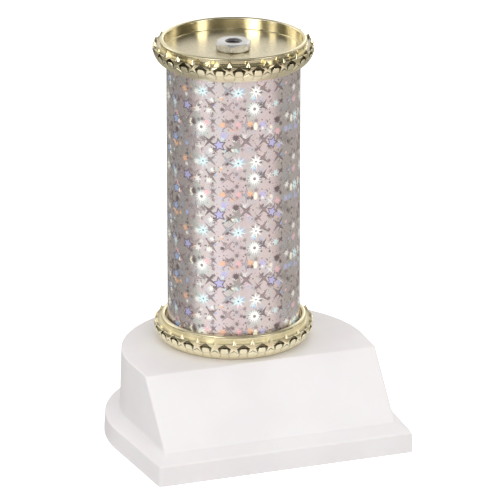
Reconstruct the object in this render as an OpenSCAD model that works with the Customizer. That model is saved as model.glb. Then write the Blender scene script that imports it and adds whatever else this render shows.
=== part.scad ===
// Column trophy. A round column with a foil wrap stands between two star-ringed
// cups, and one threaded rod clamps it to a weighted base with a sloped front.
// Millimetres, +Z up, front towards -Y. The origin is the middle of the
// footprint, on the floor.

/* [Base] */
// Height of the whole base
base_h = 33.7; // [30:0.1:44]
// Height of the plinth's upright edge
plinth_h = 7.9; // [6:0.1:9]
// Height where the block rises out of the plinth
foot_h = 10.3; // [9.5:0.1:12]
// Radius of the plinth's round back
plinth_r = 54; // [52:0.5:60]
// Radius of the block's round back, at its top
block_r = 47.2; // [42:0.1:48]
// Distance from the column's axis forward to the middle of the round back
back_c = 12.5; // [8:0.5:16]
// Distance from the column's axis forward to the plinth's front
plinth_front = 58.3; // [56:0.1:70]
// Distance from the column's axis forward to the foot of the sloped face
slope_foot = 51.4; // [48:0.1:54]
// Distance from the column's axis forward to the top of the sloped face
slope_top = 30.5; // [30:0.1:40]
// Wall thickness of the base shell
shell_wall = 2.4; // [1.6:0.1:3]
// Height of the cast weight
weight_h = 18; // [10:0.5:20]
// Thickness of the felt pad under the base
pad_t = 1.6; // [1:0.1:2]

/* [Cups] */
// Height of a cup
cup_h = 9.6; // [9:0.1:12]
// Outer radius of a cup at its rim
rim_r = 27.7; // [27.4:0.1:28.2]
// Wall thickness of a cup at its rim
rim_wall = 1.6; // [1:0.1:1.6]
// Depth of the tray inside the rim
tray_depth = 4.5; // [4.3:0.1:5]
// Thickness of the web under the tray
web_t = 1.2; // [1:0.1:1.6]
// Depth of the shelf that the stars' points stand on, below the rim
shelf_drop = 2.6; // [2.2:0.1:3]
// Number of stars round a cup
star_count = 26; // [12:1:26]
// Width of one star from arm to arm
star_w = 6.9; // [4:0.1:6.9]
// Height of one star from its legs to its point
star_h = 4.4; // [3:0.1:4.6]

/* [Column] */
// Outside diameter of the wrapped column
column_d = 50.8; // [49:0.1:50.8]
// Cut length of the column
column_len = 108.4; // [60:0.1:300]
// Wall thickness of the column tube
tube_wall = 1.4; // [1:0.1:3]
// Thickness of the foil wrap
film_t = 0.2; // [0.15:0.01:0.3]

/* [Fasteners] */
// Width across the flats of the nuts
nut_af = 12.7; // [11.1:0.1:12.7]
// Height of the thin nut on top
top_nut_h = 3.2; // [3:0.1:4]
// Height of the nut under the base
low_nut_h = 5.6; // [5:0.1:6]
// Outside diameter of the threaded rod
rod_d = 6.3; // [6:0.01:6.35]
// How far the rod's end lies below the top of the top nut
rod_recess = 2; // [1.8:0.1:2.2]

/* [Hidden] */
$fn = 96;

// The footprint is centred on the origin, which puts the column behind it.
plinth_back = plinth_r - back_c;
column_y = (plinth_front - plinth_back) / 2;

// Heights, from the floor up.
web_z = cup_h - tray_depth - web_t;            // underside of the web, above a cup's foot
column_z = base_h + web_z + web_t;             // lower end of the column
upper_cup_z = column_z + column_len - web_z;   // foot of the upper cup
top_nut_z = upper_cup_z + cup_h - tray_depth;
rod_top = top_nut_z + top_nut_h - rod_recess;
boss_z = 13;                                   // underside of the rod boss
washer_t = 1.6;
low_nut_z = boss_z - washer_t - low_nut_h;
rod_bottom = low_nut_z - 2.2;

// Base details.
plinth_taper = 3.85;      // degrees by which the plinth's sides close in towards the front
block_taper = 2.4;        // the same for the block
plinth_draft = 0.35;      // how much smaller the plinth is at its upper edge
block_draft = 0.7;        // how much larger the block is at its foot
corner_r = 1.4;           // rounding of the front corners, seen from above
top_plate = 2.6;          // thickness of the base's top
boss_r = 7.5;
rod_hole_r = 3.6;
rib_t = 1.8;
rib_reach = 27;           // rod axis to the end of a rib
well_r = 12;              // hole through the weight for the boss and the nut
fit_gap = 0.3;            // gap round the loose pieces inside the shell
sheet = 0.01;             // thickness of the outlines that a hull joins

// The 1/4 in thread, as plain cylinders: a nut is bored to the rod's full size
// where the rod fills it, and to the size of a tapping drill where it is free.
held_bore_r = rod_d / 2 + 0.05;
free_bore_r = 2.6;
mouth_r = 3.2;            // countersink of the free thread
mouth_h = 0.5;
rod_end_gap = 0.2;        // rod's end to the start of the free thread
chamfer = 0.6;
top_nut_turn = -115.3;    // degrees from +X to one corner of the top nut

// Cup details.
skirt_in_r = column_d / 2 + 0.3;
skirt_out_r = 26.3;
band_r = 29.8;            // the upright band that carries the stars
shelf_z = cup_h - shelf_drop;
swell_h = 4.9;            // height of the curve from the foot up to the band
star_t = 1;
star_face_r = 30.4;
star_lean = 6;            // degrees by which a star leans in at its top
lower_turn = -20.1;       // first star of the lower cup, degrees from the front
upper_turn = -23.2;       // the same for the upper cup
locating_r = 23.4;        // ring that centres the column's tube

function arc(cx, cy, r, from, to, steps) =
    [for (i = [0:steps]) let (a = from + (to - from) * i / steps) [cx + r * cos(a), cy + r * sin(a)]];

// Outline of the base at one height: a half circle behind, and two sides that
// close in towards a straight front with rounded corners. The distance of a
// side from the circle's middle is r, whatever its taper.
function outline(r, front, taper) =
    let (cy = -front + corner_r,
         cx = (r + back_c * sin(taper) - corner_r + cy * sin(taper)) / cos(taper))
    concat(arc(cx, cy, corner_r, -90, -taper, 4),
           arc(0, -back_c, r, -taper, 180 + taper, 44),
           arc(-cx, cy, corner_r, 180 + taper, 270, 4));

// How far forward the sloped face is at height z.
function slope_at(z) = slope_foot + (slope_top - slope_foot) * (z - foot_h) / (base_h - foot_h);

// The sloped face's wall, measured level rather than square to the face.
slope_run = (slope_foot - slope_top) / (base_h - foot_h);
slope_wall = shell_wall * sqrt(1 + slope_run * slope_run);

// Joins two outlines, at heights z0 and z1, by straight walls.
module loft(z0, outline0, z1, outline1) {
    hull() {
        translate([0, 0, z0]) linear_extrude(sheet) polygon(outline0);
        translate([0, 0, z1 - sheet]) linear_extrude(sheet) polygon(outline1);
    }
}

module on_column_axis(z = 0) {
    translate([0, column_y, z]) children();
}

// The base without its hollow: upright plinth, sloping ledge and block.
module base_outside() {
    edge = outline(plinth_r - plinth_draft, plinth_front - 0.2, plinth_taper);
    foot = outline(block_r + block_draft, slope_foot, block_taper);
    loft(0, outline(plinth_r, plinth_front, plinth_taper), plinth_h, edge);
    loft(plinth_h - sheet, edge, foot_h, foot);
    loft(foot_h - sheet, foot, base_h, outline(block_r, slope_top, block_taper));
}

// The hollow under the top plate, open below.
module base_hollow() {
    roof_z = base_h - top_plate;
    step_z = plinth_h - shell_wall;
    edge = outline(plinth_r - plinth_draft - shell_wall, plinth_front - shell_wall, plinth_taper);
    foot = outline(block_r + block_draft - shell_wall, slope_at(plinth_h) - slope_wall, block_taper);
    loft(-1, outline(plinth_r - shell_wall, plinth_front - shell_wall, plinth_taper), step_z, edge);
    loft(step_z - sheet, edge, plinth_h, foot);
    loft(plinth_h - sheet, foot, roof_z, outline(block_r - shell_wall, slope_at(roof_z) - slope_wall, block_taper));
}

module base_shell() {
    rib_z = pad_t + weight_h;
    color("white") on_column_axis() difference() {
        union() {
            difference() {
                base_outside();
                base_hollow();
            }
            translate([0, 0, boss_z]) cylinder(r = boss_r, h = base_h - boss_z - 1);
            for (turn = [0:90:270])
                rotate(turn) translate([0, -rib_t / 2, rib_z]) cube([rib_reach, rib_t, base_h - rib_z - 1]);
        }
        translate([0, 0, boss_z - 1]) cylinder(r = rod_hole_r, h = base_h);
    }
}

// A cast slug that lies between the ribs and the pad.
module base_weight() {
    front = slope_at(pad_t + weight_h) - slope_wall - fit_gap;
    color("darkgray") on_column_axis(pad_t) difference() {
        linear_extrude(weight_h) polygon(outline(block_r - shell_wall - fit_gap, front, block_taper));
        translate([0, 0, -1]) cylinder(r = well_r, h = weight_h + 2);
    }
}

// A felt sheet glued over the opening, level with the shell's lower edge.
module base_pad() {
    gap = shell_wall + fit_gap;
    color("dimgray") on_column_axis()
        linear_extrude(pad_t) polygon(outline(plinth_r - gap, plinth_front - gap, plinth_taper));
}

// A solid of revolution about the column's axis, with 45 degree chamfers at both ends.
module chamfered_rod(r, z0, z1) {
    rotate_extrude() polygon([[0, z0], [r - chamfer, z0], [r, z0 + chamfer],
                              [r, z1 - chamfer], [r - chamfer, z1], [0, z1]]);
}

module threaded_rod() {
    color("silver") on_column_axis() chamfered_rod(rod_d / 2, rod_bottom, rod_top);
}

module bottom_washer() {
    color("silver") on_column_axis(boss_z - washer_t) difference() {
        cylinder(d = 15.9, h = washer_t);
        translate([0, 0, -1]) cylinder(r = rod_hole_r, h = washer_t + 2);
    }
}

// A hexagon with its corners turned off at 30 degrees, above and below.
module hex_blank(h) {
    corner = nut_af / 2 / cos(30);
    cut = (corner - nut_af / 2 + 0.3) * tan(30);
    intersection() {
        cylinder(r = corner, h = h, $fn = 6);
        rotate_extrude() polygon([[0, 0], [nut_af / 2 - 0.3, 0], [corner, cut], [corner + 1, cut],
                                  [corner + 1, h - cut], [corner, h - cut], [nut_af / 2 - 0.3, h], [0, h]]);
    }
}

module bottom_nut() {
    color("silver") on_column_axis(low_nut_z) difference() {
        hex_blank(low_nut_h);
        translate([0, 0, -1]) cylinder(r = held_bore_r, h = low_nut_h + 2);
    }
}

// The rod fills the lower stretch of the thread. The stretch above it is free
// for a topper's stud, and is countersunk.
module top_nut() {
    held_h = top_nut_h - rod_recess + rod_end_gap;
    color("silver") on_column_axis(top_nut_z) rotate(top_nut_turn) difference() {
        hex_blank(top_nut_h);
        translate([0, 0, -1]) cylinder(r = held_bore_r, h = held_h + 1);
        cylinder(r = free_bore_r, h = top_nut_h + 1);
        translate([0, 0, top_nut_h - mouth_h]) cylinder(r1 = free_bore_r, r2 = mouth_r, h = mouth_h);
    }
}

// A five-pointed star, w wide and h high, whose arms' upper edges lie on the X axis.
module star_shape(w, h) {
    rx = w / 2 / cos(18);
    ry = h / (1 + cos(36));
    inner = cos(72) / cos(36);
    polygon([for (i = [0:9]) let (d = i % 2 == 0 ? 1 : inner, a = 90 + 36 * i)
        [rx * d * cos(a), ry * (d * sin(a) - sin(18))]]);
}

// Half section of a cup: skirt, swelling curve, star band, shelf, upright wall
// with a round lip, tray, web, and the ring under the web.
module cup_section() {
    lip = rim_wall / 2;
    tray_r = rim_r - rim_wall;
    polygon(concat(
        [[skirt_in_r, 0]],
        [for (a = [0:10:90]) [skirt_out_r + (band_r - skirt_out_r) * sin(a), swell_h * (1 - cos(a))]],
        [[band_r, shelf_z - 0.2], [band_r - 0.2, shelf_z], [rim_r, shelf_z]],
        arc(rim_r - lip, cup_h - lip, lip, 0, 180, 8),
        [[tray_r, web_z + web_t], [rod_hole_r, web_z + web_t], [rod_hole_r, web_z],
         [locating_r - 1.4, web_z], [locating_r - 1.4, web_z - 1.4], [locating_r, web_z - 1.4],
         [locating_r, web_z], [skirt_in_r, web_z]]));
}

// One moulding, used at both ends of the column: first_star turns its ring of stars.
module cup(first_star) {
    rotate_extrude() cup_section();
    for (i = [0:star_count - 1])
        rotate(first_star + 360 * i / star_count)
            translate([0, -star_face_r, shelf_z])
                rotate([90 - star_lean, 0, 0])
                    translate([0, 0, -star_t]) linear_extrude(star_t) star_shape(star_w, star_h);
}

module lower_cup() {
    color("khaki") on_column_axis(base_h) cup(lower_turn);
}

module upper_cup() {
    color("khaki") on_column_axis(upper_cup_z) cup(upper_turn);
}

module column_tube() {
    outer = column_d / 2 - film_t;
    color("whitesmoke") on_column_axis(column_z) difference() {
        cylinder(r = outer, h = column_len);
        translate([0, 0, -1]) cylinder(r = outer - tube_wall, h = column_len + 2);
    }
}

module column_film() {
    color("thistle") on_column_axis(column_z) difference() {
        cylinder(d = column_d, h = column_len);
        translate([0, 0, -1]) cylinder(r = column_d / 2 - film_t, h = column_len + 2);
    }
}

base_shell();
base_weight();
base_pad();
threaded_rod();
bottom_washer();
bottom_nut();
lower_cup();
column_tube();
column_film();
upper_cup();
top_nut();
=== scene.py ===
"""Looks of a column trophy: moulded base, two star cups, wrapped column, rod and nuts.

Shapes are worked out in millimetres from the column's axis, and stored in metres in the shared frame.
"""
import math

import bpy
import numpy as np
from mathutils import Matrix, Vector


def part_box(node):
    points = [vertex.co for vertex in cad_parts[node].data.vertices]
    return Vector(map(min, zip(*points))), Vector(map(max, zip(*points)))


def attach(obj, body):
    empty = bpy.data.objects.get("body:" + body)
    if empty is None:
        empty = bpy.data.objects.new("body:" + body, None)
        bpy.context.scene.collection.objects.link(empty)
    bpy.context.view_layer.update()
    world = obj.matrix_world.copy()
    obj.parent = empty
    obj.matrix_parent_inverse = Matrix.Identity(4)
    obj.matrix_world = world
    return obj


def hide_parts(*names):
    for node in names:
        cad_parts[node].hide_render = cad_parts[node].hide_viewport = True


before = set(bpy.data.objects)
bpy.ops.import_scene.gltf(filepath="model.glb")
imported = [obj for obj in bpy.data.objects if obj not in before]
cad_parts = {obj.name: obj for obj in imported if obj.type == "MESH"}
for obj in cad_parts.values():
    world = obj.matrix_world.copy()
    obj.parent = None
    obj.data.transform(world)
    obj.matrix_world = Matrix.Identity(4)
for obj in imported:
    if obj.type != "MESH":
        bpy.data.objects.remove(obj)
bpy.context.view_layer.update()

MM = 0.001
TURN = 2 * math.pi


def height_of(node, corner):
    """Height in millimetres of a node's lowest (0) or highest (1) corner."""
    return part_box(node)[corner].z / MM


column_low, column_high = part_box("column_film")
AXIS_Y = (column_low.y + column_high.y) / 2 / MM
COLUMN_FOOT = height_of("column_film", 0)
COLUMN_TOP = height_of("column_film", 1)
LOWER_FOOT = height_of("lower_cup", 0)
UPPER_FOOT = height_of("upper_cup", 0)
COLUMN_R = (column_high.x - column_low.x) / 2 / MM

# The cups, with heights above a cup's foot.
STARS = 26
LIP_Z = 9.6
SHELF_Z = 7.0
FLOOR_Z = 5.1
WEB_Z = 3.9
RIB_Z = 2.5
FACE_R = 30.3
BAND_R = 29.75
LIP_R = 27.78
WALL_R = 27.7
TRAY_R = 26.1
SKIRT_R = 25.7
RIB_R = (21.9, 23.4)
ROD_HOLE_R = 3.6


# ---------------------------------------------------------------- meshes

def grid_faces(rows, columns, close_rows=False, close_columns=True):
    """Quads of a grid of points: row, row + 1, column, column + 1, with the last joined to the first."""
    row = np.arange(rows if close_rows else rows - 1)
    column = np.arange(columns if close_columns else columns - 1)
    row, column = np.meshgrid(row, column, indexing="ij")
    next_row = (row + 1) % rows
    next_column = (column + 1) % columns
    corners = (row * columns + column, row * columns + next_column,
               next_row * columns + next_column, next_row * columns + column)
    return np.stack(corners, axis=-1).reshape(-1, 4)


def fan_faces(ring, pole, inward=False):
    """Triangles from a ring of point numbers to one pole."""
    after = np.roll(ring, -1)
    pair = (after, ring) if inward else (ring, after)
    return np.stack((*pair, np.full(len(ring), pole)), axis=-1)


def piece(name, points, faces, finish, node):
    """A mesh object that stands for a node, from points in millimetres about the column's axis."""
    mesh = bpy.data.meshes.new(name)
    placed = (np.asarray(points).reshape(-1, 3) + (0.0, AXIS_Y, 0.0)) * MM
    mesh.from_pydata(placed, [], [face for block in faces for face in block.tolist()])
    mesh.polygons.foreach_set("use_smooth", np.ones(len(mesh.polygons), bool))
    mesh.materials.append(finish)
    made = bpy.data.objects.new(name, mesh)
    bpy.context.collection.objects.link(made)
    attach(made, "root")
    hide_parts(node)
    return made


def rounded(corners, radii, closed=True, steps=6, hold=0.07):
    """A line with each corner turned into an arc.

    The arc touches both sides at radius * tan(half the turn) from the corner. A held point just
    outside each end of the arc keeps the flat beside it flat when the surface is shaded smooth.
    """
    corners = np.asarray(corners, float)
    line = []
    for i, corner in enumerate(corners):
        if not closed and i in (0, len(corners) - 1):
            line.append(corner[None])
            continue
        back = corners[i - 1] - corner
        ahead = corners[(i + 1) % len(corners)] - corner
        back /= np.linalg.norm(back)
        ahead /= np.linalg.norm(ahead)
        half_turn = (math.pi - math.acos(np.clip(back @ ahead, -1, 1))) / 2
        reach = radii[i] * math.tan(half_turn)
        middle = corner + (back + ahead) / np.linalg.norm(back + ahead) * radii[i] / math.cos(half_turn)
        start = (corner + back * reach - middle) / radii[i]
        angle = np.linspace(0, 2 * half_turn, steps + 1)[:, None]
        arc = middle + radii[i] * (np.cos(angle) * start - np.sin(angle) * back)
        line += [(corner + back * (reach + hold))[None], arc, (corner + ahead * (reach + hold))[None]]
    return np.concatenate(line)


def turned(line, count, z=0.0):
    """Surface of revolution: each point of a half section (radius, height) becomes a ring."""
    angle = np.arange(count) * TURN / count
    r = line[:, 0, None]
    height = np.broadcast_to(line[:, 1, None] + z, (len(line), count))
    return np.stack((r * np.cos(angle), r * np.sin(angle), height), axis=-1)


# ---------------------------------------------------------------- finishes

class Flow:
    """A value in a finish's nodes. Each operator adds the Math node of the same name."""

    def __init__(self, finish, socket):
        self.finish = finish
        self.socket = socket

    def maths(self, operation, *values):
        return self.finish.node("Math", {"operation": operation}, values)

    def __add__(self, other):
        return self.maths("ADD", self, other)

    def __radd__(self, other):
        return self.maths("ADD", other, self)

    def __sub__(self, other):
        return self.maths("SUBTRACT", self, other)

    def __rsub__(self, other):
        return self.maths("SUBTRACT", other, self)

    def __mul__(self, other):
        return self.maths("MULTIPLY", self, other)

    def __rmul__(self, other):
        return self.maths("MULTIPLY", other, self)

    def __truediv__(self, other):
        return self.maths("DIVIDE", self, other)

    def __rtruediv__(self, other):
        return self.maths("DIVIDE", other, self)

    def __mod__(self, other):
        return self.maths("FLOORED_MODULO", self, other)

    def __pow__(self, other):
        return self.maths("POWER", self, other)

    def __lt__(self, other):
        return self.maths("LESS_THAN", self, other)

    def __gt__(self, other):
        return self.maths("GREATER_THAN", self, other)

    def __abs__(self):
        return self.maths("ABSOLUTE", self)

    def floor(self):
        return self.maths("FLOOR", self)

    def fraction(self):
        return self.maths("FRACT", self)

    def sine(self):
        return self.maths("SINE", self)

    def root(self):
        return self.maths("SQRT", self)

    def angle_from(self, other):
        return self.maths("ARCTAN2", self, other)

    def most(self, other):
        return self.maths("MAXIMUM", self, other)

    def step(self, low, high, to_low=0.0, to_high=1.0):
        """Smooth step from to_low at low to to_high at high."""
        settings = {"interpolation_type": "SMOOTHSTEP"}
        return self.finish.node("MapRange", settings, (self, low, high, to_low, to_high))


class Finish:
    """One procedural material: nodes go in through node(), and shade() ends it."""

    def __init__(self, name):
        self.material = bpy.data.materials.new(name)
        self.material.use_nodes = True
        self.tree = self.material.node_tree
        self.tree.nodes.clear()

    def node(self, kind, settings=None, values=(), output=0):
        """Adds a node: its settings first, then the values or links of its sockets."""
        made = self.tree.nodes.new("ShaderNode" + kind)
        for key, value in (settings or {}).items():
            if key == "stops":
                self.set_stops(made.color_ramp, value)
            elif key == "interpolation":
                made.color_ramp.interpolation = value
            else:
                setattr(made, key, value)
        pairs = values.items() if isinstance(values, dict) else enumerate(values)
        for key, value in pairs:
            if isinstance(value, Flow):
                self.tree.links.new(value.socket, made.inputs[key])
            elif value is not None:
                made.inputs[key].default_value = value
        return made if output is None else Flow(self, made.outputs[output])

    @staticmethod
    def set_stops(ramp, stops):
        """Places a ramp's elements at (place, colour) pairs."""
        while len(ramp.elements) < len(stops):
            ramp.elements.new(1.0)
        for element, (place, colour) in zip(ramp.elements, stops):
            element.position = place
            element.color = (*colour, 1.0)

    def choose(self, value, stops, sharp=True):
        """Colour that a value picks from a ramp of stops."""
        settings = {"interpolation": "CONSTANT" if sharp else "LINEAR", "stops": stops}
        return self.node("ValToRGB", settings, (value,))

    def split(self, vector):
        made = self.node("SeparateXYZ", values=(vector,), output=None)
        return [Flow(self, socket) for socket in made.outputs]

    def place(self):
        """Position on the trophy in millimetres, with the column's axis at x = y = 0."""
        spot = self.node("TexCoord", output=3)
        values = {"Location": (0, -AXIS_Y, 0), "Scale": (1 / MM,) * 3, "Vector": spot}
        return self.node("Mapping", values=values)

    def noise(self, spot, scale, detail=3.0, roughness=0.5):
        values = {"Vector": spot, "Scale": scale, "Detail": detail, "Roughness": roughness}
        return self.node("TexNoise", values=values)

    def mix(self, factor, first, second):
        """Colour mix of two colours."""
        values = {0: factor, 6: self.colour(first), 7: self.colour(second)}
        return self.node("Mix", {"data_type": "RGBA"}, values, 2)

    @staticmethod
    def colour(value):
        return value if isinstance(value, Flow) else (*value, 1.0)

    def bump(self, height, strength):
        """Normal from a height in millimetres."""
        return self.node("Bump", values={"Strength": strength, "Distance": MM, "Height": height})

    def shade(self, **values):
        """Principled surface with the given sockets, numbers set on it directly."""
        names = {key.replace("_", " "): self.colour(value) if isinstance(value, tuple) else value
                 for key, value in values.items()}
        surface = self.node("BsdfPrincipled", values=names)
        self.node("OutputMaterial", values=(surface,), output=None)
        return self.material


def white_plastic():
    """Injection moulded white styrene: faint haze, flow mottling and a soft satin skin."""
    f = Finish("white_moulded_plastic")
    spot = f.place()
    clouds = f.noise(spot, 0.035, 2.0)
    grain = f.noise(spot, 3.1, 4.0, 0.6)
    sink = f.noise(spot, 0.12, 2.0)
    base = f.mix(clouds.step(0.35, 0.65), (0.805, 0.775, 0.780), (0.835, 0.808, 0.812))
    specks = f.noise(spot, 1.7, 1.0) > 0.80
    base = f.mix(specks * 0.05, base, (0.62, 0.59, 0.58))
    skin = f.bump(grain * 0.010 + sink * 0.10, 0.6)
    return f.shade(Base_Color=base, Roughness=0.42 + grain * 0.12, Normal=skin, Specular_IOR_Level=0.35,
                   Subsurface_Weight=0.08, Subsurface_Scale=0.002)


def gold_plastic(name, foot, satin):
    """Vacuum-plated champagne gold on a cup whose foot is at height foot.

    Lip and swell are paler and softer, the swell's paler tone being a painted reflection of the white
    base below it, the tray's floor is grained and speckled, and the wall and the swell lose some of
    their metal by the share satin. A point attribute darkens the plating with painted shade.
    """
    f = Finish(name)
    spot = f.place()
    x, y, z = f.split(spot)
    radius = (x * x + y * y).root()
    height = z - foot
    floor = (radius < TRAY_R - 0.15) * (height > FLOOR_Z - 0.2) * (height < FLOOR_Z + 0.15)
    lip = height.step(LIP_Z - 0.75, LIP_Z - 0.6) * radius.step(TRAY_R - 0.1, TRAY_R + 0.15)
    swell = (height < FLOOR_Z + 0.2) * radius.step(TRAY_R - 0.2, TRAY_R + 0.3)
    wall = (radius > WALL_R - 0.5) * (height > SHELF_Z - 0.1) * (height < LIP_Z - 0.7)
    grain = f.noise(spot, 2.6, 3.0, 0.7)
    fine = f.noise(spot, 0.9, 4.0, 0.55)
    wide = f.noise(spot, 0.10, 2.0)
    speckle = f.noise(spot, 2.3, 1.0).step(0.42, 0.66)
    recess = f.node("Attribute", {"attribute_name": "recess"}, output=2)
    tone = f.mix(wide.step(0.3, 0.7), (0.90, 0.805, 0.53), (0.95, 0.86, 0.585))
    tone = f.mix(floor * 0.7, tone, (0.92, 0.85, 0.67))
    # Painted reflection: the swell is made paler, standing for the white base top that it mirrors; the lip
    # takes part of the same paler tone.
    tone = f.mix((swell + lip * 0.6) * 0.8, tone, (1.0, 0.93, 0.68))
    tone = f.mix(floor * speckle * 0.40, tone, (0.46, 0.41, 0.25))
    # Painted shade: near black where the point attribute is high, in the crevices and on one side of each
    # point, and on the star band also a painted dark reflection.
    tone = f.mix(recess * 0.96, tone, (0.045, 0.036, 0.014))
    rough = 0.06 + 0.08 * fine + floor * (0.15 + 0.16 * grain) + lip * 0.24 + swell * 0.20
    metal = 1.0 - (wall + swell * 0.6) * satin
    relief = grain * 0.006 + speckle * floor * 0.03 + fine * 0.012
    return f.shade(Base_Color=tone, Metallic=metal, Roughness=rough, Normal=f.bump(relief, 0.7))


def zinc_steel():
    """Bright zinc plate over turned steel: fine turning lines, spangle and painted shade in the threaded
    bore.
    """
    f = Finish("zinc_plated_steel")
    spot = f.place()
    x, y, _ = f.split(spot)
    radius = (x * x + y * y).root()
    spangle = f.noise(spot, 1.1, 3.0, 0.6)
    lines = (radius * 21.0 + spangle * 4.0).sine()
    tone = f.mix(spangle.step(0.35, 0.7), (0.70, 0.695, 0.68), (0.91, 0.905, 0.895))
    # Painted shade: everything 2.35 to 3.3 mm from the axis is darkened, the nut's threaded bore and the
    # rod's thread alike.
    bore = (radius < 3.3) * (radius > 2.35)
    tone = f.mix(bore * 0.8, tone, (0.12, 0.115, 0.11))
    rough = 0.24 + 0.24 * spangle
    return f.shade(Base_Color=tone, Metallic=0.86, Roughness=rough,
                   Normal=f.bump(lines * 0.004 + spangle * 0.05, 0.6))


def felt():
    """Pressed grey felt: matted fibres and small flecks."""
    f = Finish("pressed_felt")
    spot = f.place()
    fibre = f.noise(spot, 1.4, 6.0, 0.75)
    fleck = f.noise(spot, 0.45, 5.0, 0.7)
    tone = f.mix(fleck.step(0.4, 0.62), (0.085, 0.088, 0.092), (0.17, 0.175, 0.18))
    return f.shade(Base_Color=tone, Roughness=0.95, Normal=f.bump(fibre * 0.35, 1.0),
                   Sheen_Weight=0.3, Sheen_Roughness=0.6)


def cast_weight():
    """Rough cast slug with sand grain and pits."""
    f = Finish("cast_slug")
    spot = f.place()
    sand = f.noise(spot, 0.9, 6.0, 0.7)
    pits = f.noise(spot, 0.30, 2.0)
    tone = f.mix(sand, (0.24, 0.235, 0.225), (0.42, 0.41, 0.39))
    relief = sand * 0.2 + pits.step(0.25, 0.4) * 0.3
    return f.shade(Base_Color=tone, Roughness=0.86, Normal=f.bump(relief, 0.8))


def tube_plastic():
    """Extruded white styrene tube with drawing lines along its length."""
    f = Finish("extruded_tube_plastic")
    spot = f.place()
    x, y, z = f.split(spot)
    around = x.angle_from(y)
    lines = f.noise(f.node("CombineXYZ", values=(around * 40.0, z * 0.02, 0.0)), 1.0, 3.0)
    tone = f.mix(lines, (0.70, 0.70, 0.69), (0.80, 0.80, 0.79))
    return f.shade(Base_Color=tone, Roughness=0.38, Normal=f.bump(lines * 0.05, 0.6))


BROWN = (0.135, 0.088, 0.095)
MAUVE = (0.300, 0.220, 0.232)
GREY = (0.330, 0.300, 0.275)
WHITE = (1.0, 0.99, 0.94)
CYAN = (0.72, 0.92, 0.94)
BLUE = (0.42, 0.56, 0.90)
VIOLET = (0.56, 0.54, 0.86)
PINK = (0.94, 0.56, 0.58)
ORANGE = (0.96, 0.56, 0.34)
CREAM = (1.0, 0.95, 0.76)

# Height in millimetres after which the wrap's pattern comes again, and how far each layer's cells are
# moved up for each millimetre that they are moved round.
REPEAT = 27.4
CLIMB = 0.37


class Cells:
    """The wrap divided into cells, each with its own jittered middle and its own random numbers.

    The pattern repeats up the column: a cell's random numbers come from its row modulo the number of
    rows in one repeat.
    """

    def __init__(self, f, around, up, width, rows, shift, seed, jitter):
        self.f = f
        height = REPEAT / rows
        across = (around + shift) / width
        along = (up + shift * CLIMB) / height
        column = across.floor()
        row = along.floor() % rows
        first = self.random(column, row, seed)
        second = self.random(column, row, seed + 0.5)
        self.a, self.b, self.c = first
        self.kind, self.hue, self.spin = second
        x = (across.fraction() - 0.5 - (self.a - 0.5) * jitter) * width
        y = (along.fraction() - 0.5 - (self.b - 0.5) * jitter) * height
        self.x = x
        self.y = y
        self.radius = (x * x + y * y).root()
        self.angle = y.angle_from(x) + math.pi

    def random(self, column, row, seed):
        key = self.f.node("CombineXYZ", values=(column + 0.25, row + 0.25, seed))
        colour = self.f.node("TexWhiteNoise", {"noise_dimensions": "3D"}, (key,), 1)
        return self.f.split(colour)

    def star(self, points, size, waist, turn, bow):
        """0 in the middle of a star and 1 on its edge.

        One over the edge's radius goes from 1 / size at a tip to 1 / (size * waist) at a notch, in
        proportion to (the angle from the tip) ** bow.
        """
        part = ((self.angle + turn) * points / TURN).fraction()
        off_tip = 1.0 - abs(part * 2.0 - 1.0)
        return self.radius / size * (1.0 + off_tip ** bow * (1.0 / waist - 1.0))


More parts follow.
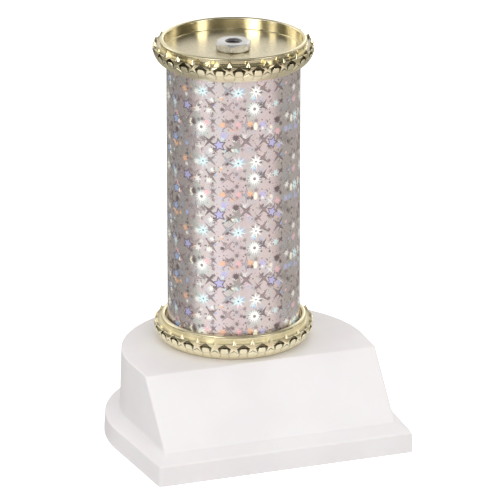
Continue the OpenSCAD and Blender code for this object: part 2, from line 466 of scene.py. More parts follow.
def foil_wrap():
    """Holographic film: lilac silver with a printed and embossed pattern of small stars.

    Layers of cells carry dots, flakes, sparkles, glints, stars and bursts. Most are brown, mauve or
    grey; the others are bright, one hue each, standing for diffraction glints, and glow with it a little
    as painted light.
    """
    f = Finish("star_foil_wrap")
    spot = f.place()
    x, y, z = f.split(spot)
    around = x.angle_from(0.0 - y) * COLUMN_R
    streak = f.noise(f.node("CombineXYZ", values=(around * 0.16, z * 0.006, 0.0)), 1.0, 2.0)
    cloud = f.noise(f.node("CombineXYZ", values=(around * 0.16, (z % REPEAT) * 0.12, 4.0)), 1.0, 2.0)
    tone = f.mix(streak.step(0.36, 0.62), (0.77, 0.73, 0.69), (0.88, 0.765, 0.78))
    veil = f.choose(cloud, [(0.32, (0.66, 0.78, 0.72)), (0.44, (0.86, 0.78, 0.78)),
                            (0.54, (0.87, 0.745, 0.765)), (0.62, (0.74, 0.80, 0.90)),
                            (0.72, (0.90, 0.78, 0.76))], sharp=False)
    tone = f.mix(0.5, tone, veil)
    unlit = (0.0, 0.0, 0.0)
    painted_glow = unlit
    printed = 0.0

    def lay(mask, colour, light=0.0):
        """Lays a colour over the film where mask is 1, with the share light of it as painted glow."""
        nonlocal tone, painted_glow, printed
        tone = f.mix(mask, tone, colour)
        painted_glow = f.mix(mask, painted_glow, f.mix(light, unlit, colour) if light else unlit)
        printed = mask.most(printed)

    # Pin dots and dots, everywhere.
    pin = Cells(f, around, z, 1.83, 15, 3.0, 11.0, 0.6)
    lay((pin.radius < pin.a * 0.13 + 0.17) * (pin.kind < 0.62) * 0.72,
        f.choose(pin.hue, [(0.0, BROWN), (0.50, MAUVE), (0.82, GREY), (0.95, BLUE)]))
    dot = Cells(f, around, z, 3.05, 9, 5.9, 19.0, 0.6)
    lay((dot.radius < dot.a * 0.22 + 0.30) * (dot.kind < 0.50) * 0.80,
        f.choose(dot.hue, [(0.0, BROWN), (0.52, MAUVE), (0.70, WHITE), (0.78, ORANGE), (0.86, PINK),
                           (0.93, BLUE)]), 0.5)

    # Thin-rayed flakes, faint and closely set.
    for width, rows, shift, seed in ((4.6, 6, 0.9, 29.0), (5.5, 5, 3.3, 31.0)):
        flake = Cells(f, around, z, width, rows, shift, seed, 0.10)
        points = (flake.spin * 3.0).floor() * 2.0 + 6.0
        edge = flake.star(points, 1.75 + flake.c * 0.45, 0.24, flake.a * 6.0, 0.60)
        lay((edge < 1.0) * (flake.kind < 0.66) * 0.70,
            f.choose(flake.hue, [(0.0, MAUVE), (0.45, BROWN), (0.72, GREY), (0.91, WHITE),
                                 (0.96, CYAN)]))

    # Small solid stars.
    small = Cells(f, around, z, 3.9, 7, 7.3, 23.0, 0.30)
    edge = small.star((small.spin * 4.0).floor() + 5.0, 0.95 + small.c * 0.38, 0.42, small.a * 9.0, 0.8)
    lay((edge < 1.0) * (small.kind < 0.40) * 0.85,
        f.choose(small.hue, [(0.0, BROWN), (0.22, MAUVE), (0.36, PINK), (0.52, WHITE), (0.60, BLUE),
                             (0.73, CREAM), (0.80, ORANGE), (0.93, CYAN)]), 0.6)

    # Sparkles with four drawn-in sides, small dark ones and large ones with a paler inside; most lean.
    cross = Cells(f, around, z, 5.48, 5, 2.6, 47.0, 0.20)
    lean = (cross.spin > 0.2) * (math.pi / 4) + (cross.a - 0.5) * 0.3
    edge = cross.star(4.0, 2.30 + cross.c * 0.50, 0.19, lean, 0.8)
    lay((edge < 1.0) * (cross.kind < 0.42) * 0.85,
        f.choose(cross.hue, [(0.0, BROWN), (0.62, MAUVE), (0.82, BLUE), (0.92, WHITE)]))
    sparkle = Cells(f, around, z, 6.85, 4, 0.8, 53.0, 0.12)
    lean = (sparkle.spin > 0.15) * (math.pi / 4) + (sparkle.a - 0.5) * 0.25
    edge = sparkle.star(4.0, 3.50 + sparkle.c * 0.40, 0.20, lean, 0.85)
    shown = sparkle.kind < 0.58
    lay((edge < 1.0) * shown * 0.82, f.choose(sparkle.hue, [(0.0, BROWN), (0.35, MAUVE), (0.75, GREY)]))
    lay((edge < 0.68) * shown * (sparkle.c > 0.35) * 0.72,
        f.choose(sparkle.hue, [(0.0, (0.46, 0.36, 0.35)), (0.35, (0.66, 0.57, 0.57)),
                               (0.75, (0.55, 0.60, 0.72))]))

    # Long upright glints: cream painted highlights with a full painted glow.
    glint = Cells(f, around, z, 6.4, 4, 4.4, 41.0, 0.30)
    inside = (glint.x * glint.x) / 0.70 + (glint.y * glint.y) / 2.5
    lay(inside.step(1.15, 0.6) * (glint.kind < 0.17), CREAM, 1.0)

    # Middle-sized bursts: (points / most_points, waist, dark).
    most_points = 20.0
    middle = Cells(f, around, z, 5.48, 5, 4.9, 37.0, 0.35)
    kinds = f.choose(middle.kind, [(0.0, (0.60, 0.50, 1.0)), (0.14, (0.40, 0.40, 0.0)),
                                   (0.28, (0.30, 0.42, 0.0))])
    count, waist, dark = f.split(kinds)
    edge = middle.star(count * most_points, 1.62 + middle.c * 0.35, waist, middle.a * 7.0, 0.80)
    shown = (edge < 1.0) * (middle.kind < 0.50)
    bright = f.choose(middle.hue, [(0.0, PINK), (0.30, ORANGE), (0.45, CYAN), (0.62, WHITE),
                                   (0.84, VIOLET)])
    lay(shown * dark * 0.88, BROWN)
    lay(shown * (1.0 - dark) * 0.88, bright, 0.5)

    # Large stars: (points / most_points, waist, hollow), where hollow is 1 for an outline with a
    # coloured heart, 0 for a bright burst and 0.5 for a plain grey star.
    large = Cells(f, around, z, 6.85, 4, 4.2, 67.0, 0.14)
    kinds = f.choose(large.kind, [(0.0, (0.25, 0.46, 1.0)), (0.22, (0.40, 0.34, 0.0)),
                                  (0.30, (0.80, 0.46, 0.0)), (0.35, (0.25, 0.40, 0.5))])
    count, waist, hollow = f.split(kinds)
    edge = large.star(count * most_points, 2.75 + large.c * 0.35, waist, large.a * 5.0, 0.9)
    outlined = (hollow > 0.8) * 1.0
    bursting = (hollow < 0.2) * 1.0
    solid = (hollow > 0.3) * (hollow < 0.8) * (large.kind < 0.45)
    # Painted glow: a faint cyan halo round each bright burst.
    lay(edge.step(1.9, 0.9) * bursting * 0.35, CYAN, 0.3)
    lay((edge < 1.0) * outlined * 0.85, BROWN)
    heart = f.choose(large.hue, [(0.0, VIOLET), (0.60, BLUE), (0.85, CYAN)])
    burst = f.choose(large.hue, [(0.0, WHITE), (0.55, CYAN), (0.85, CREAM)])
    lay((edge < 0.70) * outlined * 0.95, heart, 0.4)
    lay(edge.step(1.03, 0.88) * bursting, burst, 1.0)
    lay((large.radius < 0.36 + (count > 0.6) * 0.25) * bursting * 0.80, BROWN)
    lay((edge < 1.0) * solid * 0.72, GREY)

    emboss = f.noise(spot, 1.4, 2.0)
    rough = 0.24 + emboss * 0.10 - printed * 0.04
    metal = 0.84 - printed * 0.46
    # The emission is painted light: the bright motifs glow a little, standing for their diffraction glints.
    return f.shade(Base_Color=tone, Metallic=metal, Roughness=rough, Emission_Color=painted_glow,
                   Emission_Strength=0.22, Normal=f.bump(printed * 0.02 + emboss * 0.02, 0.5),
                   Coat_Weight=0.4, Coat_Roughness=0.05)


# ---------------------------------------------------------------- base

BACK_C = 12.5
CORNER_R = 1.4
SIDE_REACH = 54.0
FRONT_REACH = 58.3
PLINTH_TOP = 7.9
LEDGE_TOP = 10.3
INNER_LEDGE = (5.5, 9.8)
CEILING = 31.1
TAPERS = (3.85, 2.4)
FRONT_POINTS = 26
CORNER_POINTS = 7
BACK_POINTS = 144


def base_rings(side, side_z, front, front_z, taper):
    """Rings of the base's outline, one for each entry of the arrays.

    A ring is a big arc of radius side about a middle BACK_C ahead of the axis, from -taper to 180 +
    taper degrees, then a small corner arc, a straight front and the other corner arc. Heights go from
    side_z to front_z round the corners.
    """
    columns = (np.asarray(value, float)[:, None] for value in (side, side_z, front, front_z))
    side, side_z, front, front_z = columns
    lean = np.radians(np.asarray(taper, float))[:, None]
    corner_y = -front + CORNER_R
    corner_x = (side + BACK_C * np.sin(lean) - CORNER_R + corner_y * np.sin(lean)) / np.cos(lean)
    sweep = np.linspace(0, 1, CORNER_POINTS)
    right = -math.pi / 2 + (math.pi / 2 - lean) * sweep
    back = -lean + (math.pi + 2 * lean) * np.linspace(0, 1, BACK_POINTS)
    left = math.pi + lean + (math.pi / 2 - lean) * sweep
    straight = np.linspace(-1, 1, FRONT_POINTS + 2)[1:-1]
    xs = np.concatenate((corner_x + CORNER_R * np.cos(right), side * np.cos(back),
                         -corner_x + CORNER_R * np.cos(left), corner_x * straight), axis=1)
    ys = np.concatenate((corner_y + CORNER_R * np.sin(right), -BACK_C + side * np.sin(back),
                         corner_y + CORNER_R * np.sin(left), -front + 0 * straight), axis=1)
    ease = (1 - np.cos(math.pi * sweep)) / 2
    frontness = np.concatenate((1 - ease, np.zeros(BACK_POINTS), ease, np.ones(FRONT_POINTS)))
    return np.stack((xs, ys, side_z + (front_z - side_z) * frontness), axis=-1)


def circle_rings(radius, height, like):
    """Circles about the axis whose points lie at the same angles as those of the ring like."""
    angle = np.arctan2(like[:, 1], like[:, 0])
    r = np.asarray(radius, float)[:, None]
    z = np.broadcast_to(np.asarray(height, float)[:, None], (len(r), len(angle)))
    return np.stack((r * np.cos(angle), r * np.sin(angle), z), axis=-1)


def moulded_base():
    """The hollow base: outline rings up the outside, circles through the rod hole, rings down inside."""
    top = height_of("base_shell", 1)
    side = rounded([(52.6, 0), (SIDE_REACH, 0), (53.65, PLINTH_TOP), (47.9, LEDGE_TOP),
                    (47.2, top), (36, top)],
                   [1, 0.35, 0.7, 1.5, 0.45, 1], closed=False)[:-1]
    front = rounded([(56.9, 0), (FRONT_REACH, 0), (58.1, PLINTH_TOP), (51.4, LEDGE_TOP),
                     (30.5, top), (26, top)],
                    [1, 0.35, 0.7, 1.8, 0.75, 1], closed=False)[:-1]
    taper = np.interp(side[:, 1], (PLINTH_TOP, LEDGE_TOP), TAPERS)
    outside = base_rings(side[:, 0], side[:, 1], front[:, 0], front[:, 1], taper)
    near = outside[-1]
    boss_foot, boss_r = 13.0, 7.5
    bore = rounded([(33, top), (ROD_HOLE_R, top), (ROD_HOLE_R, boss_foot), (boss_r, boss_foot),
                    (boss_r, CEILING), (12, CEILING)],
                   [1, 0.3, 0.3, 0.4, 1.2, 1], closed=False)
    plate = circle_rings([27.0, 24.0], [top, top], near)
    through = circle_rings(bore[1:, 0], bore[1:, 1], near)
    ledge_low, ledge_high = INNER_LEDGE
    inner_side = rounded([(30, CEILING), (44.85, CEILING), (45.5, ledge_high), (51.25, ledge_low),
                          (51.6, 0.0), (54.5, 0.0)],
                         [1, 1.0, 1.5, 0.8, 0.3, 1], closed=False)[1:-2]
    inner_front = rounded([(14, CEILING), (27.9, CEILING), (46.6, ledge_high), (55.7, ledge_low),
                           (55.9, 0.0), (58.8, 0.0)],
                          [1, 1.0, 1.5, 0.8, 0.3, 1], closed=False)[1:-2]
    taper = np.interp(inner_side[:, 1], INNER_LEDGE, TAPERS)
    inside = base_rings(inner_side[:, 0], inner_side[:, 1], inner_front[:, 0], inner_front[:, 1], taper)
    rings = np.concatenate((outside, plate, through, inside))
    faces = grid_faces(len(rings), rings.shape[1], close_rows=True)
    return piece("moulded_base", rings, [faces], white_plastic(), "base_shell")


def base_felt():
    """Felt sheet with soft edges: outline rings from a middle point below, round the edge, to one above."""
    top = height_of("base_pad", 1)
    foot = 0.05
    middle_y = -8
    margin = 2.7
    edge = rounded([(20, foot), (0, foot), (0, top), (20, top)], [1, 0.45, 0.5, 1], closed=False)
    inward = np.concatenate(([45, 30, 15, 5], edge[1:-1, 0], [5, 15, 30, 45]))
    height = np.concatenate(([foot] * 4, edge[1:-1, 1], [top] * 4))
    side = SIDE_REACH - margin - inward
    front = FRONT_REACH - margin - inward
    taper = np.full(len(side), TAPERS[0])
    rings = base_rings(side, height, front, height, taper)
    count = rings.shape[1]
    points = np.concatenate((rings.reshape(-1, 3), [(0, middle_y, foot), (0, middle_y, top)]))
    last = len(rings) * count
    faces = [grid_faces(len(rings), count), fan_faces(np.arange(count), last, inward=True),
             fan_faces(np.arange(last - count, last), last + 1)]
    return piece("felt_pad", points, faces, felt(), "base_pad")


# ---------------------------------------------------------------- cups

CREASE = 1.65
SWELL_START = math.radians(10)
SWELL_END = math.radians(64)
SWELL_LENGTH = 6.85


def carrier(down, out):
    """Point (radius, height above the foot) at arc length down from the shelf, and out from the surface.

    The line drops straight for CREASE, then turns evenly from SWELL_START to SWELL_END away from the
    vertical, so radius and height are the integrals of its sine and cosine.
    """
    down = np.asarray(down, float)
    run = np.clip(down - CREASE, 0, None)
    rate = (SWELL_END - SWELL_START) / SWELL_LENGTH
    lean = SWELL_START + rate * run
    radius = FACE_R + (np.cos(lean) - math.cos(SWELL_START)) / rate
    height = SHELF_Z - np.minimum(down, CREASE) - (np.sin(lean) - math.sin(SWELL_START)) / rate
    lean = np.where(down > CREASE, lean, 0.0)
    return radius + out * np.cos(lean), height - out * np.sin(lean)


def cup_section():
    """Closed half section: swell, star band, shelf, grooved wall, round lip, tray, web and skirt."""
    swell_r, swell_z = carrier(np.linspace(CREASE + 0.05, CREASE + SWELL_LENGTH, 26), 0.0)
    lift = swell_z[-1]
    swell = np.stack((swell_r, swell_z - lift * np.linspace(0, 1, 26) ** 2), axis=-1)[::-1]
    rib_in, rib_out = RIB_R
    band = [(FACE_R - 0.02, 5.33), (BAND_R, 5.45), (BAND_R, SHELF_Z), (WALL_R, SHELF_Z)]
    wall = [(WALL_R, 8.1), (WALL_R - 0.05, 8.16), (WALL_R, 8.22), (WALL_R, 8.78), (27.56, 8.86)]
    lip = [(LIP_R, 8.98), (LIP_R, LIP_Z), (TRAY_R, LIP_Z)]
    tray = [(TRAY_R, FLOOR_Z), (ROD_HOLE_R, FLOOR_Z), (ROD_HOLE_R, WEB_Z)]
    rib = [(rib_in, WEB_Z), (rib_in, RIB_Z), (rib_out, RIB_Z), (rib_out, WEB_Z)]
    skirt = [(SKIRT_R, WEB_Z), (SKIRT_R, 0.0)]
    radii = [0.05, 0.06, 0.12, 0.12, 0.05, 0.05, 0.05, 0.05, 0.04, 0.05, 0.78, 0.78, 0.3, 0.1, 0.1,
             0.3, 0.2, 0.2, 0.3, 0.2, 0.15]
    upper = rounded(band + wall + lip + tray + rib + skirt, radii, steps=3, hold=0.03)
    return np.concatenate((swell, upper[1:]))


def inset(outline, width):
    """An outline drawn in by width: a corner moves by width times the sum of its two sides' inward
    normals over (1 + their dot product), which is where the two sides, moved in, cross."""
    along = np.roll(outline, -1, axis=0) - outline
    along /= np.linalg.norm(along, axis=1)[:, None]
    inward = np.stack((along[:, 1], -along[:, 0]), axis=-1)
    before = np.roll(inward, 1, axis=0)
    return outline + width * (inward + before) / (1 + (inward * before).sum(axis=1))[:, None]


def plateau(outline, centre, turn, foot, top, bottom, bevel, drop, crown=0.0):
    """Raised shapes set round a cup, one for each star, each lying on the carrier.

    The rings of a shape are its outline at height bottom, its outline at top - drop, the outline inset
    by bevel at height top, and that ring drawn in towards the centre, which stands crown higher. The
    underside is closed at height bottom.
    """
    outline = np.asarray(outline, float)
    step = np.linspace(0, 1, 4)[:-1, None]
    lines = [(ring[:, None] * (1 - step) + np.roll(ring, -1, axis=0)[:, None] * step).reshape(-1, 2)
             for ring in (outline, inset(outline, bevel))]
    middle = np.asarray(centre, float)
    rings = (lines[0], lines[0], lines[1], middle + (lines[1] - middle) * 0.5, middle[None], middle[None])
    flat = np.concatenate(rings)
    counts = [len(ring) for ring in rings]
    out = np.repeat((bottom, top - drop, top, top + crown / 2, top + crown, bottom), counts)
    radius, height = carrier(flat[:, 1], out)
    angle = turn + np.arange(STARS)[:, None] * TURN / STARS + flat[:, 0] / FACE_R
    points = np.stack((radius * np.sin(angle), -radius * np.cos(angle),
                       np.broadcast_to(height + foot, angle.shape)), axis=-1)
    around = len(lines[0])
    face = grid_faces(4, around)
    cap = np.concatenate((fan_faces(np.arange(3 * around, 4 * around), len(flat) - 2),
                          fan_faces(np.arange(around), len(flat) - 1, inward=True)))
    shift = (np.arange(STARS) * len(flat))[:, None, None]
    # Painted shade: the foot ring and the underside of each raised shape are darkened.
    recess = np.tile(np.repeat((0.9, 0.05, 0.0, 0.0, 0.0, 0.9), counts), STARS)
    return points.reshape(-1, 3), (face + shift).reshape(-1, 4), (cap + shift).reshape(-1, 3), recess


def spikes(turn, foot):
    """Top points of the stars: leaning pyramids with a ridge in front, standing on the shelf's edge."""
    tip_height = 1.65
    across = np.array([-1.05, -0.5, 0.0, 0.5, 1.05, 0.7, -0.7, 0.0])
    radius = np.array([30.0, 30.30, 30.44, 30.30, 30.0, 29.0, 29.0, 29.60])
    height = np.array([0, 0, 0, 0, 0, 0, 0, tip_height]) + SHELF_Z - 0.03 + foot
    angle = turn + np.arange(STARS)[:, None] * TURN / STARS + across / FACE_R
    points = np.stack((radius * np.sin(angle), -radius * np.cos(angle),
                       np.broadcast_to(height, angle.shape)), axis=-1)
    side = fan_faces(np.arange(7), 7)
    base = np.array([(0, 6, 1), (1, 6, 5), (1, 5, 2), (2, 5, 3), (3, 5, 4)])
    shift = (np.arange(STARS) * 8)[:, None, None]
    triangles = (np.concatenate((side, base)) + shift).reshape(-1, 3)
    # Painted shade: the left facets of each point are darkened, as if the light came from the right.
    recess = np.tile((0.75, 0.35, 0.0, 0.0, 0.0, 0.0, 0.75, 0.0), STARS)
    return points.reshape(-1, 3), np.zeros((0, 4), int), triangles, recess


# Outlines on a cup's unrolled surface: along it to the right, and down from the shelf.
STAR_BODY = [(-3.44, 0.0), (-1.32, 1.55), (-2.13, 4.06), (0.0, 2.51), (2.13, 4.06), (1.32, 1.55),
             (3.44, 0.0)]
HOUSE = [(0.0, 2.72), (-2.02, 4.0), (-1.38, 6.5), (1.38, 6.5), (2.02, 4.0)]
TILE = [(-0.85, 1.45), (-1.42, 2.1), (-1.52, 3.4), (-1.12, 3.83), (1.12, 3.83), (1.52, 3.4),
        (1.42, 2.1), (0.85, 1.45)]
LOW_TILE = [(-1.22, 4.12), (-1.72, 6.5), (1.72, 6.5), (1.22, 4.12)]


def star_cup(name, node, foot, first_star, dark, satin):
    """A turned cup body with its ring of stars, points and tiles as one moulding.

    The plating between the stars is darkened by the share dark, as painted shade and a painted dark
    reflection where little light reaches it, and the wall is satin by the share satin.
    """
    body = turned(cup_section(), 260, foot)
    turn = math.radians(first_star)
    half = math.pi / STARS
    parts = [plateau(STAR_BODY, (0, 1.55), turn, foot, 0.02, -0.62, 0.16, 0.25, 0.20),
             plateau(HOUSE, (0, 4.9), turn, foot, 0.09, -0.15, 0.12, 0.13, 0.03),
             plateau(TILE, (0, 3.0), turn + half, foot, 0.11, -0.15, 0.12, 0.13),
             plateau(LOW_TILE, (0, 5.5), turn + half, foot, 0.07, -0.15, 0.10, 0.08),
             spikes(turn, foot)]
    points = [body.reshape(-1, 3)]
    faces = [grid_faces(body.shape[0], body.shape[1], close_rows=True)]
    above = points[0][:, 2] - foot
    outside = np.hypot(points[0][:, 0], points[0][:, 1]) > 28.0
    # Painted shade on the body's outside below the shelf: faint on the swell, and the share dark on the star
    # band, where it also stands for a dark reflection.
    depth = np.interp(above, (0.8, 1.2, 3.2, 4.2, 6.8, 7.0), (0.0, 0.22, 0.30, dark, dark, 0.75 * dark))
    recess = [outside * (above < SHELF_Z + 0.05) * depth]
    round_faces = len(faces[0])
    for spots, quads, triangles, depth in parts:
        total = sum(map(len, points))
        faces += [quads + total, triangles + total]
        points.append(spots)
        recess.append(depth)
    made = piece(name, np.concatenate(points), faces, gold_plastic(name + "_gold", foot, satin),
                 node)
    made.data.polygons.foreach_set("use_smooth", np.arange(len(made.data.polygons)) < round_faces)
    # The painted shade goes to the plating's finish as a point attribute.
    layer = made.data.attributes.new("recess", "FLOAT", "POINT")
    layer.data.foreach_set("value", np.concatenate(recess).astype(np.float32))
    return made


# ---------------------------------------------------------------- column, rod and nuts

def foil_sleeve():
    """Film wound once round the tube with a lap behind: the closed section's radius rises at the lap."""
    start = math.pi / 2 + math.radians(2)
    turns = np.linspace(0, TURN + math.radians(9), 400)
    lap = np.clip((turns - (TURN - math.radians(5))) / math.radians(4), 0, 1)
    outer = COLUMN_R - 0.1 + 0.1 * lap * lap * (3 - 2 * lap)
    inner = outer - 0.09
    angle = start + turns
    z0, z1 = COLUMN_FOOT + 0.02, COLUMN_TOP - 0.02
    rows = [(outer - 0.02, z0), (outer, z0 + 0.03), (outer, z0 + 0.13), (outer, z1 - 0.13),
            (outer, z1 - 0.03), (outer - 0.02, z1), (inner + 0.02, z1), (inner, z1 - 0.03),
            (inner, z0 + 0.03), (inner + 0.02, z0)]
    points = np.stack([np.stack((r * np.cos(angle), r * np.sin(angle), np.full_like(angle, z)), axis=-1)
                       for r, z in rows])
    count = len(angle)
    first = np.arange(len(rows)) * count
    ends = np.array([first[::-1], first + count - 1])
    faces = [grid_faces(len(rows), count, close_rows=True, close_columns=False), ends]
    return piece("foil_sleeve", points, faces, foil_wrap(), "column_film")


PITCH = 1.27
RINGS_PER_PITCH = 7


def thread_radius(angle, z, mean, depth):
    """Radius of a helical thread: a triangle wave of z / PITCH less the angle in turns."""
    phase = (z / PITCH - angle / TURN) % 1.0
    return mean + depth * (np.abs(phase * 2 - 1) - 0.5) * 2


def rod():
    """Threaded rod with chamfered ends: RINGS_PER_PITCH rings to a turn, each point on the helix."""
    low, high = height_of("threaded_rod", 0), height_of("threaded_rod", 1)
    count = 28
    z = np.linspace(low, high, int((high - low) / PITCH * RINGS_PER_PITCH))[:, None]
    angle = (np.arange(count) * TURN / count)[None]
    end = np.minimum(z - low, high - z)
    radius = np.minimum(thread_radius(angle, z, 2.83, 0.30), 2.45 + end)
    points = np.stack((radius * np.cos(angle), radius * np.sin(angle),
                       np.broadcast_to(z, radius.shape)), axis=-1)
    last = len(z) * count
    points = np.concatenate((points.reshape(-1, 3), [(0, 0, low), (0, 0, high)]))
    faces = [grid_faces(len(z), count), fan_faces(np.arange(count), last, inward=True),
             fan_faces(np.arange(last - count, last), last + 1)]
    return piece("clamping_rod", points, faces, ZINC, "threaded_rod")


NUT_FLATS = 12.7


def hex_nut(name, node, turn):
    """Hexagonal nut whose corners are turned off at 30 degrees, with a threaded and countersunk bore.

    The hexagon's radius at an angle is half the flats over the cosine of the angle from the nearest
    flat's middle; the turned corners drop the outer edge by (radius - washer face) * tan 30.
    """
    low, high = height_of(node, 0), height_of(node, 1)
    count = 144
    angle = np.arange(count) * TURN / count + math.radians(turn)
    off_flat = (np.arange(count) * TURN / count) % (math.pi / 3) - math.pi / 6
    half = NUT_FLATS / 2
    hexagon = np.minimum(half / np.cos(off_flat), half / math.cos(math.pi / 6) - 0.12)
    face = half - 0.35
    drop = (hexagon - face) * math.tan(math.radians(30))
    steady = np.ones(count)
    rows = [(face * 0.86 * steady, low * steady), ((face - 0.08) * steady, low * steady),
            (face * steady, low * steady), (hexagon - 0.02, low + drop), (hexagon, low + drop + 0.05),
            (hexagon, high - drop - 0.05), (hexagon - 0.02, high - drop), (face * steady, high * steady),
            ((face - 0.08) * steady, high * steady), (3.42 * steady, high * steady),
            (3.34 * steady, (high - 0.02) * steady)]
    z = np.linspace(high - 0.45, low + 0.4, 34)
    fade = np.clip((high - 0.1 - z) / 0.5, 0, 1)
    rows += [(thread_radius(angle, level, 2.90, 0.24) * part + 3.2 * (1 - part), level * steady)
             for level, part in zip(z, fade)]
    rows += [(3.3 * steady, (low + 0.02) * steady), (3.4 * steady, low * steady)]
    points = np.stack([np.stack((r * np.cos(angle), r * np.sin(angle), level), axis=-1) for r, level in rows])
    faces = [grid_faces(len(rows), count, close_rows=True)]
    return piece(name, points, faces, ZINC, node)


ZINC = zinc_steel()
moulded_base()
base_felt()
star_cup("lower_star_cup", "lower_cup", LOWER_FOOT, -20.1, 0.90, 0.66)
star_cup("upper_star_cup", "upper_cup", UPPER_FOOT, -23.2, 0.96, 0.12)
foil_sleeve()
rod()
hex_nut("thin_top_nut", "top_nut", -115.3)
hex_nut("clamping_nut", "bottom_nut", 0.0)
for node, finish in (("bottom_washer", ZINC), ("column_tube", tube_plastic()),
                     ("base_weight", cast_weight())):
    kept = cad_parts[node]
    kept.data.materials.clear()
    kept.data.materials.append(finish)


# ---------------------------------------------------------------- stage, light and camera

def stage_mesh(name, points, faces, finish, reflections_only=False):
    """A mesh in metres that is not part of the trophy; one for reflections is hidden from the rest."""
    mesh = bpy.data.meshes.new(name)
    mesh.from_pydata(np.asarray(points, float).reshape(-1, 3), [], np.asarray(faces).tolist())
    mesh.materials.append(finish)
    made = bpy.data.objects.new(name, mesh)
    bpy.context.collection.objects.link(made)
    made.visible_shadow = False
    if reflections_only:
        made.visible_camera = False
        made.visible_diffuse = False
        made.visible_transmission = False
    return made


def floor_finish():
    """Pale matt floor, lit from within so that it stays near white."""
    f = Finish("pale_floor")
    return f.shade(Base_Color=(0.92, 0.92, 0.92), Roughness=0.7, Specular_IOR_Level=0.0,
                   Emission_Color=(1.0, 1.0, 1.0), Emission_Strength=0.60)


def room_finish():
    """Black card that gives out the light stored at each of its points."""
    f = Finish("room_reflection")
    light = f.node("Attribute", {"attribute_name": "light"})
    return f.shade(Base_Color=(0.0, 0.0, 0.0), Roughness=1.0, Specular_IOR_Level=0.0,
                   Emission_Color=light, Emission_Strength=1.0)


def soft_window(off, half_width, soft):
    """1 within half_width of the middle, easing to 0 over soft beyond it."""
    ramp = np.clip((half_width + soft - np.abs(off)) / soft, 0, 1)
    return ramp * ramp * (3 - 2 * ramp)


def heading_off(heading, middle):
    """Signed difference of two headings in degrees, between -180 and 180."""
    return (heading - middle + 180) % 360 - 180


def light_up(made, light, tint):
    """Stores light times tint at the points of a stage mesh."""
    colours = np.concatenate((light.reshape(-1, 1) * np.asarray(tint), np.ones((light.size, 1))), axis=1)
    layer = made.data.attributes.new("light", "FLOAT_COLOR", "POINT")
    layer.data.foreach_set("color", colours.astype(np.float32).ravel())


ROOM = room_finish()

# A round floor that curves up into a wall, in metres.
cove = np.array([(0.01, 0), (3.2, 0), (3.9, 0.12), (4.3, 0.6), (4.4, 1.6), (4.4, 5.0)])
floor = stage_mesh("studio_floor", turned(cove, 96), grid_faces(len(cove), 96), floor_finish())
floor.visible_diffuse = False

# What the plating mirrors overhead: a dim room with soft windows at (heading, half width,
# elevation, half height, light).
WINDOWS = ((165, 70, 20, 24, 0.74), (-54, 8, 26, 14, 4.6), (34, 6, 26, 14, 3.0), (-90, 4, 26, 20, 1.6),
           (97, 7, 24, 18, 0.3), (-142, 5, 22, 24, 1.2), (146, 4, 26, 20, 1.2), (-14, 5, 44, 10, 0.9))
HEADINGS = np.linspace(-180, 180, 241)
heading, rise = np.meshgrid(HEADINGS, np.linspace(0, 90, 61))
room_light = 0.025 + 0.13 * soft_window(90 - rise, 35, 30)
for middle, half, level, tall, light in WINDOWS:
    across = soft_window(heading_off(heading, middle), half, 4)
    room_light += light * across * soft_window(rise - level, tall, 8)
turn, lift = np.radians(heading), np.radians(rise)
dome = np.stack((np.sin(turn) * np.cos(lift), -np.cos(turn) * np.cos(lift), np.sin(lift)), axis=-1) * 2.6
dome_faces = grid_faces(*heading.shape, close_columns=False)
dome = stage_mesh("room_dome", dome, dome_faces, ROOM, reflections_only=True)
light_up(dome, room_light, (1.0, 0.985, 0.96))

# What it mirrors below: a floor that is pale in front, yellower and dimmer at the sides, a little
# rosier right of the front, and shaded in a ring where the upper cup's wall looks.
heading, reach = np.meshgrid(HEADINGS, np.concatenate((np.linspace(0.0, 0.6, 61), [3.0])))
front_light = soft_window(heading_off(heading, -17), 57, 24) * (
    0.78 + 0.22 * soft_window(heading_off(heading, -58), 16, 20))
ring_shade = 1 - 0.42 * soft_window(reach - 0.500, 0.030, 0.03)
turn = np.radians(heading)
floor_light = (0.29 + 0.065 * np.sin(turn) + 0.66 * front_light) * ring_shade
below = np.stack((np.sin(turn) * reach, AXIS_Y * MM - np.cos(turn) * reach,
                  np.full_like(reach, 0.0004)), axis=-1)
below_faces = grid_faces(*heading.shape, close_columns=False)
below = stage_mesh("floor_reflection", below, below_faces, ROOM, reflections_only=True)
rosy = soft_window(heading_off(heading, 15), 38, 25)
side_tint = (np.array((1.0, 0.96, 0.84)) + front_light[..., None] * (0.0, 0.01, 0.11)
             - rosy[..., None] * (0.0, 0.06, 0.05))
light_up(below, floor_light, side_tint.reshape(-1, 3))


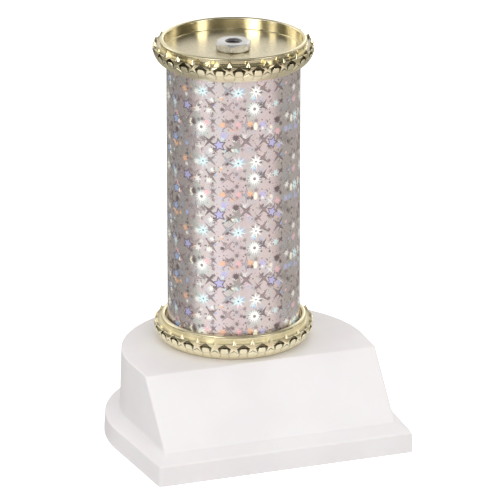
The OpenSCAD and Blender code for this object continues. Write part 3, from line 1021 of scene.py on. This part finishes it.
SOFTBOX_DISTANCE = 1.2


def softbox(name, heading, rise, size, power):
    """A rectangular area light that faces the column from a heading and elevation in degrees."""
    data = bpy.data.lights.new(name, "AREA")
    data.shape = "RECTANGLE"
    data.size, data.size_y = size
    data.energy = power
    made = bpy.data.objects.new(name, data)
    around, above = math.radians(heading), math.radians(rise)
    toward = Vector((math.sin(around) * math.cos(above), -math.cos(around) * math.cos(above),
                     math.sin(above)))
    made.location = COLUMN_MIDDLE + toward * SOFTBOX_DISTANCE
    made.rotation_euler = toward.to_track_quat("Z", "Y").to_euler()
    made.visible_glossy = False
    bpy.context.collection.objects.link(made)


COLUMN_MIDDLE = Vector((0.0, AXIS_Y * MM, 0.08))
softbox("front_box", 0, 28, (0.5, 0.45), 3.0)
softbox("left_box", -75, 25, (0.4, 0.45), 1.3)
softbox("top_box", 0, 80, (0.5, 0.5), 1.7)

world = bpy.data.worlds.new("studio_air")
bpy.context.scene.world = world
world.use_nodes = True
air = world.node_tree.nodes["Background"]
air.inputs["Color"].default_value = (1.0, 0.995, 0.99, 1.0)
air.inputs["Strength"].default_value = 0.79
bpy.context.scene.view_settings.view_transform = "Standard"

AZIMUTH = math.radians(-20.26)
ELEVATION = math.radians(19.08)
DISTANCE = 1.855
AIM_RIGHT = 0.00434
AIM_DOWN = 0.0092
back = Vector((math.sin(AZIMUTH) * math.cos(ELEVATION), -math.cos(AZIMUTH) * math.cos(ELEVATION),
               math.sin(ELEVATION)))
right = Vector((math.cos(AZIMUTH), math.sin(AZIMUTH), 0))
up = back.cross(right)
lens = bpy.data.cameras.new("view_camera")
lens.lens = 358.3
lens.sensor_width = 36.0
lens.clip_start = 0.1
camera = bpy.data.objects.new("view_camera", lens)
camera.location = COLUMN_MIDDLE + DISTANCE * back
aim = COLUMN_MIDDLE + AIM_RIGHT * right - AIM_DOWN * up
camera.rotation_euler = (aim - camera.location).to_track_quat("-Z", "Y").to_euler()
bpy.context.collection.objects.link(camera)
bpy.context.scene.camera = camera
